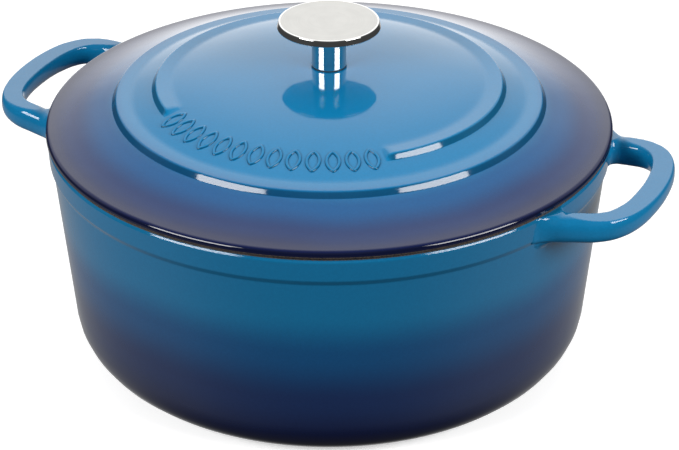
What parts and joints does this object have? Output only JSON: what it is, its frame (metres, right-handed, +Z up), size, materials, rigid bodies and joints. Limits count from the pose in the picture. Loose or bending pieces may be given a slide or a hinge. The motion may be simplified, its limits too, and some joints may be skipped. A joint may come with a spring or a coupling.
{
  "type": "covered casserole dish",
  "caption": "Round enamelled cast-iron casserole with tapered pot, loop handles, lift-off domed lid with raised rings, and a steel disc knob screwed through the lid.",
  "frame": {"origin": "centre of the underside, on the table", "axes": "+Z up through the knob, X through the two loop handles, the lid's petal ornament toward -Y"},
  "size_m": [0.335, 0.27, 0.1677],
  "materials": {
    "blue_enamel": "glossy vitreous enamel over cast iron, blue shading to navy at the rim and base",
    "black_rubber": "matt",
    "polished_steel": "mirror polished stainless steel",
    "brushed_steel": "fine brushed top, polished edge",
    "screw_steel": "plain machined stainless steel"
  },
  "bodies": {
    "pot": {"pot": "blue_enamel"},
    "lid": {"lid": "blue_enamel", "knob_gasket": "black_rubber", "knob_stem": "polished_steel", "knob_head": "brushed_steel", "knob_screw": "screw_steel", "screw_washer": "screw_steel", "lock_washer": "screw_steel"}
  },
  "joints": [
    {"name": "lid_lift", "type": "slide", "parent": "pot", "child": "lid", "axis": [0, 0, 1], "range_m": [0, 0.2]}
  ]
}
